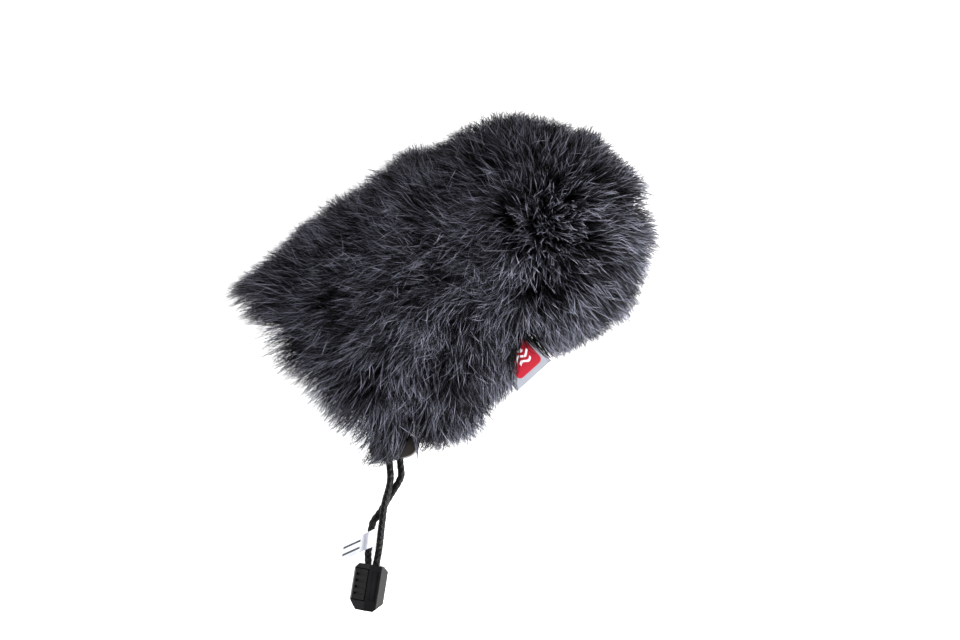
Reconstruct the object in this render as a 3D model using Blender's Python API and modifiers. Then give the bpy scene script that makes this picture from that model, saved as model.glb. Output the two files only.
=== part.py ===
"""Furry windscreen for a hand-held sound recorder.

A long-pile cover lies on a surface at z = 0. Its open mouth is at the -X end, its closed
head at the +X end, and it bends gently at the waist. A drawcord runs in a casing round the
mouth, comes out through a sprung cord lock, and its two ends are knotted in a small
two-part cord end. All lengths are in metres; MM turns millimetres into metres.
"""

import math

import bmesh
import bpy
from mathutils import Matrix, Vector

MM = 0.001
GAP = 0.4 * MM                      # clearance between touching pieces

# The spine: a circular arc in plan, from the hem's centre to the tip of the head.
MOUTH_CENTRE = Vector((-59.3, -4.9, 0.0)) * MM
MOUTH_HEADING = math.radians(16.0)
BEND_RADIUS = 266.0 * MM
WAIST = 77.0 * MM                   # distance along the spine to the waist seam
DOME = 95.0 * MM                    # where the head starts to round off
LIP = -14.0 * MM                    # the pile reaches this far in front of the hem
BACKING_TIP = 130.5 * MM
PILE_TIP = 146.0 * MM

# The woven backing: (station, left half-width, right half-width, top height), in mm.
BACKING_KEYS = (
    (0.0, 33.0, 33.0, 38.0),
    (25.0, 34.0, 42.0, 44.0),
    (45.0, 34.0, 42.0, 47.0),
    (61.0, 35.0, 35.0, 48.0),
    (77.0, 36.0, 34.0, 47.5),
    (95.0, 36.0, 34.0, 52.0),
)
BACKING_BOTTOM = 7.0 * MM
PILE_LIP = (44.0, 41.0, 44.0)       # left, right and top of the pile's front edge, in mm
PILE_SIDE = 14.0                    # mm
PILE_TOP = 16.0                     # mm
PILE_BOTTOM = -3.0 * MM             # below the surface, so that the pile is pressed flat
SQUARENESS = 0.8                    # 1 is an ellipse, less is squarer
SEAM_KEYS = ((-14.0, 11.0), (0.0, 11.0), (61.0, 13.2), (77.0, 14.0), (95.0, 16.0))
POLE_HEIGHT = 27.0 * MM             # height of the tip of the head

# The cord and the hem.
CORD_RADIUS = 1.5 * MM
CASING_RADIUS = 3.0 * MM
CASING_WALL = 0.7 * MM
CASING_STATION = -3.5 * MM
CASING_HALF_WIDTH = 31.0 * MM
CASING_MIDDLE = 22.5 * MM
CASING_HALF_HEIGHT = 13.3 * MM
CASING_START = math.radians(-15.0)  # upper end, next to the cord exit
CASING_END = math.radians(305.0)    # lower end, after going round the mouth
THREAD_RADIUS = 0.35 * MM
THREAD_INSET = 1.2 * MM
THREAD_LIFT = 0.6 * MM              # the lengthwise threads lie this far above the seam
INWARD_SHIFT = 14.0 * MM            # they are moved in towards a point this far back
RING_MIDDLE = 26.0 * MM             # the cross seams' threads are moved in towards this height

# The cord lock: an oval barrel with an upright plunger and two cord holes.
LOCK_CENTRE = Vector((-53.8, -48.9, 0.0)) * MM
LOCK_HEADING = math.radians(-112.0)     # the way the cords leave
LOCK_LENGTH = 20.0 * MM
LOCK_DEPTH = 10.5 * MM
LOCK_FLOOR = 0.4 * MM
LOCK_RIM = 11.8 * MM
LOCK_WALL = 1.6 * MM
LOCK_TRAVEL = 7.0 * MM
PRESS_TRAVEL = 2.4 * MM
CORD_HEIGHT = 8.7 * MM
CORD_SPACING = 2.3 * MM                 # each cord's distance from the lock's middle
CORD_HOLE = 1.8 * MM
STEM_FOOT = 5.8 * MM
NOTCH_SIZE = Vector((26.0, 48.0, 21.0)) * MM    # the room for the lock in the pile
NOTCH_OUT = 5.0 * MM                            # its middle lies this far beyond the lock's
NOTCH_MIDDLE = 9.5 * MM
BUTTON_FOOT = LOCK_RIM + PRESS_TRAVEL + GAP
BUTTON_TOP = 18.2 * MM
SPRING_RADIUS = 2.4 * MM
SPRING_WIRE = 0.25 * MM
SPRING_TURNS = 3.0


# The cords' free routes in mm: before the lock, then (after the straight run) to the cord end.
# Strand A leaves the casing's lower end, strand B its upper end.
ROUTE_A_IN = (
    (-56.9, -27.6, 10.9), (-56.1, -30.6, 10.2), (-54.9, -33.8, 9.5), (-53.7, -37.0, 9.0),
)
ROUTE_A_OUT = (
    (-62.2, -62.0, 8.2), (-64.4, -64.6, 7.4), (-66.8, -67.1, 6.5), (-69.1, -69.9, 5.6),
    (-71.0, -72.6, 5.0), (-72.8, -75.3, 4.3), (-74.8, -78.2, 3.2), (-76.8, -81.3, 2.4),
    (-78.8, -84.3, 2.3), (-80.6, -86.8, 3.3), (-81.9, -88.5, 4.0), (-83.1, -90.1, 4.0),
    (-84.3, -91.7, 4.0), (-85.4, -93.3, 4.0),
)
ROUTE_B_IN = (
    (-53.4, -34.9, 17.2), (-52.9, -35.0, 15.5), (-51.8, -35.7, 13.3), (-50.4, -37.3, 11.0),
    (-49.2, -39.7, 9.3),
)
ROUTE_B_OUT = (
    (-58.4, -62.9, 7.6), (-60.9, -64.4, 6.0), (-63.6, -65.9, 4.0), (-66.4, -67.6, 2.2),
    (-69.0, -69.2, 1.6), (-71.6, -70.8, 1.6), (-74.2, -72.0, 1.65), (-76.3, -73.3, 1.9),
    (-77.9, -75.2, 2.2), (-79.3, -77.2, 2.2), (-80.6, -79.1, 2.2), (-82.0, -81.1, 2.2),
    (-83.2, -82.8, 2.2), (-84.2, -84.6, 2.7), (-85.0, -86.4, 3.7), (-85.9, -88.1, 4.0),
    (-87.0, -89.7, 4.0),
    (-88.2, -91.3, 4.0),
)
RUN_STEPS = (-7.5, -5.0, 0.0, 5.0, 8.5, 12.0)   # mm along the straight run through the lock
CORD_STEP = 3.6 * MM

# The tag on strand B: a strip folded round the cord and stuck to itself as a flag.
TAG_CENTRE = Vector((-80.6, -79.1, 2.2)) * MM
TAG_TURN = math.radians(145.0)              # square to the cord, the way the flag points
TAG_WIDTH = 7.6 * MM
TAG_SHEAR = 0.63                            # the flag leans along the cord
TAG_LOOP_OUTSIDE = 2.05
TAG_LOOP_INSIDE = 1.8
TAG_FLAG = ((12.7, -1.4), (3.4, -0.1))      # the flag's upper side, in mm from the cord
TAG_THICKNESS = 0.5

# The moulded cord end. Its local -Y runs away from the cords, +X to the recessed side.
END_PLACE = Vector((-84.5, -89.1, 0.0)) * MM
END_TURN = math.radians(-36.0)
END_LENGTH = 19.5 * MM
END_SECTION = (
    (-7.0, 0.4), (7.0, 0.4), (7.2, 1.4), (7.2, 4.6), (4.6, 8.8), (-0.6, 9.0), (-6.6, 3.6),
    (-7.2, 1.8),
)
END_PLAN = (
    (-5.4, 0.0), (5.2, 0.0), (7.3, -2.0), (7.3, -15.6), (3.6, -19.5), (-4.2, -19.5), (-7.3, -15.4),
    (-7.3, -2.2),
)
END_CAVITY = ((-5.2, 1.6), (5.6, 1.6), (5.6, 4.4), (3.6, 7.4), (-0.9, 7.5), (-5.2, 3.6))
CAVITY_REACH = (1.7, 15.9)
WINDOW = ((-9.0, 1.5), (-0.6, 1.5), (-0.6, 10.0), (-9.0, 10.0))
WINDOW_REACH = (1.9, 15.6)
LID_PART = ((-9.0, 1.9), (-1.0, 1.9), (-1.0, 10.0), (-9.0, 10.0))
LID_REACH = (2.3, 15.2)
CORD_ENTRY = (1.7 * MM, 4.0 * MM)           # each cord's place across and up
ENTRY_HOLE = 2.0 * MM
GRIP_GROOVES = (4.6, 7.3, 10.0, 12.7)       # mm from the end where the cords go in
GRIP_WIDTH = 1.1
GRIP_DEPTH = 0.6
GRIP_MARGINS = (1.0, 1.5)                   # mm left of the slope below and above the grooves
END_RECESS = ((0.9, 8.1), (3.8, 8.1), (3.8, 10.0), (0.9, 10.0))
RECESS_REACH = (2.6, 15.0)
KNOT_PLACE = Vector((1.0, -8.5, 4.5)) * MM
KNOT_SIZE = Vector((0.8, 1.1, 1.3)) * MM

# The side label, sewn in the seam at its root.
LABEL_ROOT = Vector((6.5, -23.9, 13.3)) * MM
LABEL_HEADING = math.radians(-75.0)
LABEL_WIDTH = 19.5 * MM
LABEL_REACH = ((-1.5, 0.0), (4.0, 0.1), (10.0, 0.1), (16.0, -0.3), (21.0, -2.3), (25.6, -5.5))
LABEL_THICKNESS = 0.8 * MM
LABEL_SLOT = (                              # the room round the label in the pile, (out, up) in mm
    (-3.5, -1.3), (5.0, -1.7), (17.0, -5.3), (29.0, -12.0), (29.0, 7.0), (5.0, 1.7), (-3.5, 0.6),
)
LABEL_SLOT_SIDE = 1.0                       # mm beyond each side of the label
LABEL_SEAM = (-2.8, -0.3)                   # the label's stitches, (out, up) in mm
LABEL_STITCHES = (-9.0, -4.5, 0.0, 4.5, 9.0)


# ---------------------------------------------------------------- helpers

def clear_scene():
    for item in list(bpy.data.objects):
        bpy.data.objects.remove(item, do_unlink=True)


def collection(name):
    group = bpy.data.collections.new(name)
    bpy.context.scene.collection.children.link(group)
    return group


def material(name, colour, roughness, metallic=0.0):
    look = bpy.data.materials.new(name)
    look.use_nodes = True
    shader = look.node_tree.nodes["Principled BSDF"]
    shader.inputs["Base Color"].default_value = (*colour, 1.0)
    shader.inputs["Roughness"].default_value = roughness
    shader.inputs["Metallic"].default_value = metallic
    return look


def place(name, mesh, group, look=None):
    item = bpy.data.objects.new(name, mesh)
    group.objects.link(item)
    if look:
        mesh.materials.clear()
        mesh.materials.append(look)
    return item


def make_cutter(item):
    item.hide_render = True
    item.display_type = "WIRE"
    return item


def boolean(item, other, operation="DIFFERENCE"):
    cut = item.modifiers.new(operation.title(), "BOOLEAN")
    cut.operation = operation
    cut.solver = "EXACT"
    cut.object = other


def smooth_keys(keys, station):
    """Value of each column of a key table at a station, along a smooth curve."""
    if station <= keys[0][0]:
        return keys[0][1:]
    if station >= keys[-1][0]:
        return keys[-1][1:]
    last = len(keys) - 1
    at = max(i for i in range(last) if keys[i][0] <= station)
    low, high = keys[at], keys[at + 1]
    before, after = keys[max(at - 1, 0)], keys[min(at + 2, last)]
    span = high[0] - low[0]
    t = (station - low[0]) / span
    values = []
    for column in range(1, len(low)):
        slope_low = (high[column] - before[column]) / (high[0] - before[0]) * span
        slope_high = (after[column] - low[column]) / (after[0] - low[0]) * span
        values.append(
            (2 * t**3 - 3 * t**2 + 1) * low[column] + (t**3 - 2 * t**2 + t) * slope_low
            + (3 * t**2 - 2 * t**3) * high[column] + (t**3 - t**2) * slope_high
        )
    return values


def catmull_rom(points, step):
    """Evenly spread points on a smooth curve through the given ones."""
    points = [Vector(p) for p in points]
    ends = [points[0] * 2 - points[1]] + points + [points[-1] * 2 - points[-2]]
    fine = []
    for i in range(1, len(ends) - 2):
        a, b, c, d = ends[i - 1:i + 3]
        for k in range(12):
            t = k / 12
            fine.append(0.5 * (2 * b + (c - a) * t + (2 * a - 5 * b + 4 * c - d) * t**2
                               + (3 * b - a - 3 * c + d) * t**3))
    fine.append(points[-1])
    lengths = [0.0]
    for a, b in zip(fine, fine[1:]):
        lengths.append(lengths[-1] + (b - a).length)
    count = max(2, round(lengths[-1] / step))
    spread = []
    for k in range(count + 1):
        goal = lengths[-1] * k / count
        at = min(next(i for i in range(1, len(lengths)) if lengths[i] >= goal - 1e-12), len(fine) - 1)
        share = (goal - lengths[at - 1]) / (lengths[at] - lengths[at - 1])
        spread.append(fine[at - 1].lerp(fine[at], share))
    return spread


def tube(name, points, radius, group, look, closed=False, sides=2, capped=True):
    curve = bpy.data.curves.new(name, "CURVE")
    curve.dimensions = "3D"
    curve.bevel_depth = radius
    curve.bevel_resolution = sides
    curve.use_fill_caps = capped
    spline = curve.splines.new("POLY")
    spline.points.add(len(points) - 1)
    for target, point in zip(spline.points, points):
        target.co = (*point, 1.0)
    spline.use_cyclic_u = closed
    item = bpy.data.objects.new(name, curve)
    group.objects.link(item)
    curve.materials.append(look)
    return item


def to_mesh(item, group, look=None):
    """Turn a curve object into a welded mesh object of the same name."""
    name = item.name
    depsgraph = bpy.context.evaluated_depsgraph_get()
    mesh = bpy.data.meshes.new_from_object(item.evaluated_get(depsgraph))
    weld = bmesh.new()
    weld.from_mesh(mesh)
    bmesh.ops.remove_doubles(weld, verts=weld.verts, dist=0.001 * MM)
    bmesh.ops.recalc_face_normals(weld, faces=weld.faces)
    weld.to_mesh(mesh)
    weld.free()
    place_in = item.matrix_world.copy()
    bpy.data.objects.remove(item, do_unlink=True)
    item = place(name, mesh, group, look)
    item.matrix_world = place_in
    return item


def outline_solid(name, outlines, low, high, matrix, group, look=None):
    """A flat outline in mm (with holes after it), thickened from low to high and set in place."""
    curve = bpy.data.curves.new(name, "CURVE")
    curve.dimensions = "2D"
    curve.fill_mode = "BOTH"
    curve.extrude = (high - low) / 2 * MM
    for outline in outlines:
        spline = curve.splines.new("POLY")
        spline.points.add(len(outline) - 1)
        for target, (x, y) in zip(spline.points, outline):
            target.co = (x * MM, y * MM, 0.0, 1.0)
        spline.use_cyclic_u = True
    item = bpy.data.objects.new(name, curve)
    group.objects.link(item)
    item = to_mesh(item, group, look)
    item.data.transform(matrix @ Matrix.Translation((0, 0, (low + high) / 2 * MM)))
    return item


def box(name, size, centre, turn, group):
    solid = bmesh.new()
    bmesh.ops.create_cube(solid, size=1.0)
    bmesh.ops.scale(solid, vec=size, verts=solid.verts)
    mesh = bpy.data.meshes.new(name)
    solid.to_mesh(mesh)
    solid.free()
    item = place(name, mesh, group)
    item.location = centre
    item.rotation_euler = (0, 0, turn)
    return item


# ---------------------------------------------------------------- the soft cover

def spine(station):
    """Point, direction and left-hand side of the spine at a distance from the hem."""
    heading = MOUTH_HEADING - station / BEND_RADIUS
    run = math.sin(MOUTH_HEADING) - math.sin(heading)
    rise = math.cos(heading) - math.cos(MOUTH_HEADING)
    point = MOUTH_CENTRE + Vector((run, rise, 0)) * BEND_RADIUS
    forward = Vector((math.cos(heading), math.sin(heading), 0))
    return point, forward, Vector((-forward.y, forward.x, 0))


def cross_section(station, piled):
    """Left and right half-widths, bottom, top and seam height at a station, in metres."""
    left, right, top = smooth_keys(BACKING_KEYS, station / MM)
    bottom = BACKING_BOTTOM
    if piled:
        left, right, top = left + PILE_SIDE, right + PILE_SIDE, top + PILE_TOP
        bottom = PILE_BOTTOM
        if station < 0:
            share = station / LIP
            widths = zip((left, right, top), PILE_LIP)
            left, right, top = (a + (b - a) * share for a, b in widths)
    seam = smooth_keys(SEAM_KEYS, station / MM)[0]
    return left * MM, right * MM, bottom, top * MM, seam * MM


def cover_point(station, around, piled):
    """A point of the cover. around is 0 at the right seam, 1 at the left seam over the top,
    and goes on to 2 back under the bottom."""
    tip = PILE_TIP if piled else BACKING_TIP
    shrink = 1.0
    if station > DOME:
        shrink = math.sqrt(max(0.0, 1 - ((station - DOME) / (tip - DOME)) ** 2))
    left, right, bottom, top, seam = cross_section(min(station, DOME), piled)
    middle, half = (top + bottom) / 2, (top - bottom) / 2
    below = math.asin(((middle - seam) / half) ** (1 / SQUARENESS))
    if around <= 1:
        angle = -below + (math.pi + 2 * below) * around
    else:
        angle = math.pi + below + (math.pi - 2 * below) * (around - 1)
    across, up = math.cos(angle), math.sin(angle)
    width = right if across > 0 else left
    sideways = -math.copysign(width * abs(across) ** SQUARENESS, across) * shrink
    height = middle + math.copysign(half * abs(up) ** SQUARENESS, up)
    height = POLE_HEIGHT + (height - POLE_HEIGHT) * shrink
    point, _, left_side = spine(station)
    return point + left_side * sideways + Vector((0, 0, max(height, 0.0)))


def body_stations(rows):
    for i in range(rows + 1):
        share = i / rows
        yield (LIP + (WAIST - GAP / 2 - LIP) * share, (WAIST - GAP / 2) * share)


def head_stations(straight, round_rows):
    start = WAIST + GAP / 2
    for i in range(straight):
        station = start + (DOME - start) * i / straight
        yield (station, station)
    for i in range(round_rows + 1):
        reach = math.sin(math.pi / 2 * i / round_rows)
        yield (DOME + (PILE_TIP - DOME) * reach, DOME + (BACKING_TIP - DOME) * reach)


def panel(name, stations, start, columns, lift, group, look):
    """A thick fur panel, lofted between the backing and the surface of the pile."""
    solid = bmesh.new()
    layers = []
    for piled in (True, False):
        rows = []
        for pair in stations:
            station = pair[0] if piled else pair[1]
            tip = PILE_TIP if piled else BACKING_TIP
            if station > tip - 1e-6:
                pole = cover_point(tip, start, piled) + Vector((0, 0, lift))
                rows.append([solid.verts.new(pole)] * (columns + 1))
                continue
            row = []
            for i in range(columns + 1):
                point = cover_point(station, start + i / columns, piled)
                at_seam = i in (0, columns)
                row.append(solid.verts.new(point + Vector((0, 0, lift if at_seam else 0))))
            rows.append(row)
        layers.append(rows)
    outer, inner = layers

    def face(*corners):
        unique = list(dict.fromkeys(corners))
        if len(unique) > 2:
            solid.faces.new(unique)

    last = len(outer) - 1
    for rows in layers:
        for a, b in zip(rows, rows[1:]):
            for i in range(columns):
                face(a[i], a[i + 1], b[i + 1], b[i])
    for column in (0, columns):
        for i in range(last):
            face(outer[i][column], outer[i + 1][column], inner[i + 1][column], inner[i][column])
    for row in (0, last):
        if outer[row][0] is not outer[row][1]:
            for i in range(columns):
                face(outer[row][i], outer[row][i + 1], inner[row][i + 1], inner[row][i])
    bmesh.ops.recalc_face_normals(solid, faces=solid.faces)
    mesh = bpy.data.meshes.new(name)
    solid.to_mesh(mesh)
    solid.free()
    return place(name, mesh, group, look)


def cover_panels(group, look):
    body = list(body_stations(11))
    head = list(head_stations(2, 8))
    half = GAP / 2
    return {
        "fur_body_top": panel("fur_body_top", body, 0, 20, half, group, look),
        "fur_body_bottom": panel("fur_body_bottom", body, 1, 12, -half, group, look),
        "fur_head_top": panel("fur_head_top", head, 0, 18, half, group, look),
        "fur_head_bottom": panel("fur_head_bottom", head, 1, 10, -half, group, look),
    }


def lock_axes():
    out = Vector((math.cos(LOCK_HEADING), math.sin(LOCK_HEADING), 0))
    return out, Vector((-out.y, out.x, 0))


def cut_lock_notch(panels, cutters):
    """The room in the pile that the cord lock sits in and slides out of."""
    out, _ = lock_axes()
    centre = LOCK_CENTRE + out * NOTCH_OUT + Vector((0, 0, NOTCH_MIDDLE))
    notch = box("lock_notch", NOTCH_SIZE, centre, LOCK_HEADING + math.pi / 2, cutters)
    make_cutter(notch)
    for name in ("fur_body_top", "fur_body_bottom"):
        boolean(panels[name], notch)


def cut_label_slot(panels, cutters):
    """A slot in the pile, wider outwards, in which the label can bend up and down."""
    frame = label_frame() @ Matrix.Rotation(math.radians(90), 4, "X")
    half = LABEL_WIDTH / MM / 2 + LABEL_SLOT_SIDE
    slot = make_cutter(outline_solid("label_slot", [LABEL_SLOT], -half, half, frame, cutters))
    for item in panels.values():
        boolean(item, slot)


def label_frame():
    """Local X runs out along the label, Z up."""
    return Matrix.Translation(LABEL_ROOT) @ Matrix.Rotation(LABEL_HEADING, 4, "Z")


def side_label(group, look):
    upper = list(LABEL_REACH)
    lower = [(x, z - LABEL_THICKNESS / MM) for x, z in reversed(LABEL_REACH)]
    frame = label_frame() @ Matrix.Rotation(math.radians(90), 4, "X")
    half = LABEL_WIDTH / MM / 2
    return outline_solid("side_label", [upper + lower], -half, half, frame, group, look)


def seam_path(from_station, to_station, around, count, inset=THREAD_INSET):
    """Points just inside the backing, along a lengthwise seam."""
    path = []
    for i in range(count + 1):
        station = from_station + (to_station - from_station) * i / count
        centre, _, _ = spine(station - INWARD_SHIFT)
        point = cover_point(station, around, False)
        inward = Vector((centre.x - point.x, centre.y - point.y, 0)).normalized()
        path.append(point + inward * inset + Vector((0, 0, THREAD_LIFT)))
    return path


def ring_path(station, count):
    """Points just inside the backing, round a cross seam."""
    centre, _, _ = spine(station)
    middle = centre + Vector((0, 0, RING_MIDDLE))
    path = []
    for i in range(count):
        point = cover_point(station, 2 * i / count, False)
        path.append(point + (middle - point).normalized() * THREAD_INSET)
    return path


def seam_threads(group, look):
    radius = THREAD_RADIUS
    tube("hem_thread", ring_path(2 * MM, 64), radius, group, look, closed=True, sides=0)
    tube("waist_thread", ring_path(WAIST, 64), radius, group, look, closed=True, sides=0)
    start, stop = 5 * MM, WAIST - 3 * MM
    tube("body_thread_right", seam_path(start, 53 * MM, 0, 16), radius, group, look, sides=0)
    tube("body_thread_left", seam_path(start, stop, 1, 24), radius, group, look, sides=0)
    reach = BACKING_TIP - 7 * MM
    right = seam_path(WAIST + 3 * MM, reach, 0, 24, 2 * THREAD_INSET)
    left = seam_path(WAIST + 3 * MM, reach, 1, 24, 2 * THREAD_INSET)
    around = catmull_rom(right + left[::-1], 3 * MM)
    tube("head_thread", around, radius, group, look, sides=0)
    frame = label_frame()
    out, up = LABEL_SEAM
    bar = [frame @ (Vector((out, y, up)) * MM) for y in LABEL_STITCHES]
    tube("label_thread", bar, radius, group, look, sides=0)


# ---------------------------------------------------------------- hem, drawcord and tails

def hem_point(angle):
    """A point on the casing's centreline."""
    point, _, left_side = spine(CASING_STATION)
    across, up = math.cos(angle), math.sin(angle)
    sideways = -math.copysign(CASING_HALF_WIDTH * abs(across) ** SQUARENESS, across)
    height = CASING_MIDDLE + math.copysign(CASING_HALF_HEIGHT * abs(up) ** SQUARENESS, up)
    return point + left_side * sideways + Vector((0, 0, height))


def hem_path(inset, step):
    span = CASING_END - CASING_START - 2 * inset
    points = [hem_point(CASING_START + inset + span * i / 40) for i in range(41)]
    return catmull_rom(points, step)


def hem_casing(group, look):
    """A thin-walled channel round the mouth, open at both ends."""
    path = hem_path(0, 5.5 * MM)
    item = tube("hem_casing", path, CASING_RADIUS, group, look, sides=3, capped=False)
    item = to_mesh(item, group, look)
    wall = item.modifiers.new("Wall", "SOLIDIFY")
    wall.thickness = CASING_WALL
    wall.offset = -1
    item.data.shade_smooth()
    return item


def straight_run(side):
    """The cord's centreline through the lock and a little beyond it."""
    out, across = lock_axes()
    base = LOCK_CENTRE + across * side + Vector((0, 0, CORD_HEIGHT))
    return [base + out * step * MM for step in RUN_STEPS]


def cord_route(before, side, after):
    start = [Vector(p) * MM for p in before]
    end = [Vector(p) * MM for p in after]
    return catmull_rom(start + straight_run(side) + end, CORD_STEP)


def drawcord(group, look):
    tube("drawcord_loop", hem_path(math.radians(0.5), 5 * MM), CORD_RADIUS, group, look)
    route_a = cord_route(ROUTE_A_IN, -CORD_SPACING, ROUTE_A_OUT)
    route_b = cord_route(ROUTE_B_IN, CORD_SPACING, ROUTE_B_OUT)
    tube("cord_tail_a", route_a, CORD_RADIUS, group, look)
    tube("cord_tail_b", route_b, CORD_RADIUS, group, look)


def circle(radius, first=0, last=360, count=20):
    turns = [math.radians(first + (last - first) * i / count) for i in range(count + (last < 360))]
    return [(radius * math.cos(a), radius * math.sin(a)) for a in turns]


def cord_tag(group, look):
    upper = list(TAG_FLAG)
    lower = [(x, z - TAG_THICKNESS) for x, z in reversed(TAG_FLAG)]
    outline = upper + circle(TAG_LOOP_OUTSIDE, 12, 348) + lower
    upright = Matrix.Rotation(math.radians(90), 4, "X")
    lean = Matrix.Identity(4)
    lean[2][0] = -TAG_SHEAR
    frame = Matrix.Translation(TAG_CENTRE) @ Matrix.Rotation(TAG_TURN, 4, "Z") @ upright @ lean
    half = TAG_WIDTH / MM / 2
    outline_solid("cord_tag", [outline, circle(TAG_LOOP_INSIDE)], -half, half, frame, group, look)


# ---------------------------------------------------------------- the cord lock

def lock_frame():
    """Local X runs across the two cords, -Y the way they leave."""
    turn = Matrix.Rotation(LOCK_HEADING + math.pi / 2, 4, "Z")
    return Matrix.Translation(LOCK_CENTRE) @ turn


def oval(length, depth, count=28):
    points = []
    for i in range(count):
        angle = 2 * math.pi * i / count
        across, along = math.cos(angle), math.sin(angle)
        x = math.copysign(length / 2 * abs(across) ** 0.75, across)
        y = math.copysign(depth / 2 * abs(along) ** 0.75, along)
        points.append((x / MM, y / MM))
    return points


def oval_solid(name, length, depth, low, high, group, look=None):
    outline = oval(length, depth)
    return outline_solid(name, [outline], low / MM, high / MM, lock_frame(), group, look)


def soften(item, width, segments):
    edge = item.modifiers.new("Edge", "BEVEL")
    edge.width = width
    edge.segments = segments
    edge.limit_method = "ANGLE"
    edge.angle_limit = math.radians(50)


def cord_hole(name, frame, centre, radius, length, cutters):
    solid = bmesh.new()
    bmesh.ops.create_cone(solid, cap_ends=True, segments=18, radius1=radius, radius2=radius, depth=length)
    mesh = bpy.data.meshes.new(name)
    solid.to_mesh(mesh)
    solid.free()
    mesh.transform(frame @ Matrix.Translation(centre) @ Matrix.Rotation(math.radians(90), 4, "X"))
    return make_cutter(place(name, mesh, cutters))


def cord_lock(group, cutters, look, steel):
    body = oval_solid("cord_lock_body", LOCK_LENGTH, LOCK_DEPTH, LOCK_FLOOR, LOCK_RIM, group, look)
    soften(body, 1.0 * MM, 2)
    inside = (LOCK_LENGTH - 2 * LOCK_WALL, LOCK_DEPTH - 2 * LOCK_WALL)
    pocket_floor = LOCK_FLOOR + 1.2 * MM
    pocket = oval_solid("lock_pocket", *inside, pocket_floor, LOCK_RIM + 2 * MM, cutters)
    boolean(body, make_cutter(pocket))

    stem_size = [side - 2 * GAP for side in inside]
    button = (LOCK_LENGTH, LOCK_DEPTH, BUTTON_FOOT, BUTTON_TOP)
    plunger = oval_solid("cord_lock_plunger", *button, group, look)
    soften(plunger, 1.4 * MM, 3)
    stem = oval_solid("lock_stem", *stem_size, STEM_FOOT, BUTTON_FOOT + 1.5 * MM, cutters)
    boolean(plunger, make_cutter(stem), "UNION")

    slot_low = CORD_HEIGHT - CORD_HOLE
    slot_high = CORD_HEIGHT + CORD_HOLE + PRESS_TRAVEL
    for side in (-1, 1):
        centre = Vector((side * CORD_SPACING, 0, CORD_HEIGHT))
        hole = cord_hole(f"lock_hole_{side}", lock_frame(), centre, CORD_HOLE, 3 * LOCK_DEPTH, cutters)
        boolean(body, hole)
        slot = box(
            f"plunger_slot_{side}",
            Vector((2 * CORD_HOLE, 3 * LOCK_DEPTH, slot_high - slot_low)),
            lock_frame() @ Vector((side * CORD_SPACING, 0, (slot_low + slot_high) / 2)),
            LOCK_HEADING + math.pi / 2, cutters,
        )
        boolean(plunger, make_cutter(slot))

    low = pocket_floor + GAP + SPRING_WIRE
    high = STEM_FOOT - GAP - SPRING_WIRE
    coil = []
    for i in range(int(12 * SPRING_TURNS) + 1):
        angle = 2 * math.pi * i / 12
        height = low + (high - low) * i / (12 * SPRING_TURNS)
        turn = Vector((math.cos(angle), math.sin(angle), 0)) * SPRING_RADIUS
        coil.append(LOCK_CENTRE + turn + Vector((0, 0, height)))
    tube("cord_lock_spring", coil, SPRING_WIRE, group, steel, sides=0)


# ---------------------------------------------------------------- the cord end

def end_frame():
    return Matrix.Translation(END_PLACE) @ Matrix.Rotation(END_TURN, 4, "Z")


def end_prism(name, outline, reach, group, look=None):
    """An outline across the cord end, thickened along it. reach is in mm from the cord side."""
    frame = end_frame() @ Matrix.Rotation(math.radians(90), 4, "X")
    return outline_solid(name, [outline], *reach, frame, group, look)


def cord_end(group, cutters, look):
    shell = (0.0, END_LENGTH / MM)
    body = end_prism("cord_end_body", END_SECTION, shell, group, look)
    lid = end_prism("cord_end_lid", END_SECTION, shell, group, look)
    plan = make_cutter(outline_solid("end_plan", [END_PLAN], -1, 11, end_frame(), cutters))
    cavity = make_cutter(end_prism("end_cavity", END_CAVITY, CAVITY_REACH, cutters))
    window = make_cutter(end_prism("end_window", WINDOW, WINDOW_REACH, cutters))
    lid_part = make_cutter(end_prism("lid_part", LID_PART, LID_REACH, cutters))
    for item in (body, lid):
        boolean(item, plan, "INTERSECT")
        soften(item, 0.45 * MM, 2)
        boolean(item, cavity)
    boolean(body, window)
    boolean(lid, lid_part, "INTERSECT")

    across, height = CORD_ENTRY
    for side in (-1, 1):
        centre = Vector((side * across, 0, height))
        boolean(body, cord_hole(f"end_hole_{side}", end_frame(), centre, ENTRY_HOLE, 5 * MM, cutters))
    boolean(body, make_cutter(end_prism("end_recess", END_RECESS, RECESS_REACH, cutters)))
    low, high = Vector(END_SECTION[6]), Vector(END_SECTION[5])
    slope = (high - low).normalized()
    outward = Vector((-slope.y, slope.x))
    start, stop = low + slope * GRIP_MARGINS[0], high - slope * GRIP_MARGINS[1]
    sunk, clear = outward * GRIP_DEPTH, outward * 2 * GRIP_DEPTH
    groove = [start - sunk, stop - sunk, stop + clear, start + clear]
    for i, place_in in enumerate(GRIP_GROOVES):
        reach = (place_in - GRIP_WIDTH / 2, place_in + GRIP_WIDTH / 2)
        boolean(lid, make_cutter(end_prism(f"grip_{i}", groove, reach, cutters)))


def cord_knot(group, look):
    """The two ends tied together, as a closed overhand knot."""
    frame = end_frame() @ Matrix.Translation(KNOT_PLACE)
    points = []
    for i in range(48):
        t = 2 * math.pi * i / 48
        shape = (math.sin(t) + 2 * math.sin(2 * t), math.cos(t) - 2 * math.cos(2 * t), -math.sin(3 * t))
        points.append(frame @ Vector([a * b for a, b in zip(shape, KNOT_SIZE)]))
    tube("cord_knot", points, 0.9 * MM, group, look, closed=True)


# ---------------------------------------------------------------- build

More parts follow.
